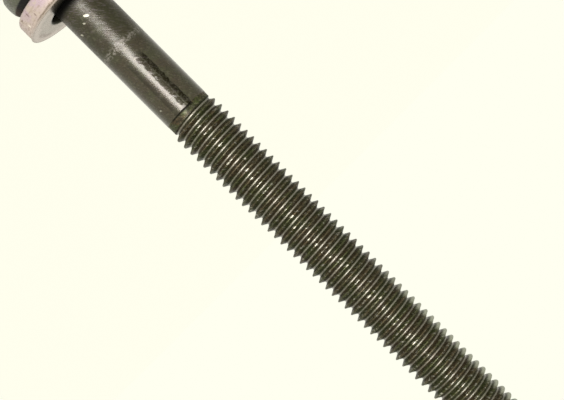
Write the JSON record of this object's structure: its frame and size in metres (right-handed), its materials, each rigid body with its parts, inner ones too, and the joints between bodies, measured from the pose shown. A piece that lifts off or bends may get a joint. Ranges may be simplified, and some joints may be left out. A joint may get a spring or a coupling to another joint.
{
  "type": "cylinder stud",
  "caption": "Long headed stud: a flanged hexagon, a plain shank and a rolled right-hand thread to its chamfered point, with a loose plain washer on the flange.",
  "frame": {"origin": "middle of the hexagon's flat end face, which the stud stands on", "axes": "+Z along the stud's axis, from the hexagon towards the threaded point"},
  "size_m": [0.0168, 0.0168, 0.109],
  "materials": {
    "blackened_steel": "black oxide, lightly oiled, worn bright in places",
    "washer_steel": "dull plated steel with a pale warm tint"
  },
  "bodies": {
    "root": {"stud": "blackened_steel", "washer": "washer_steel"}
  },
  "joints": []
}
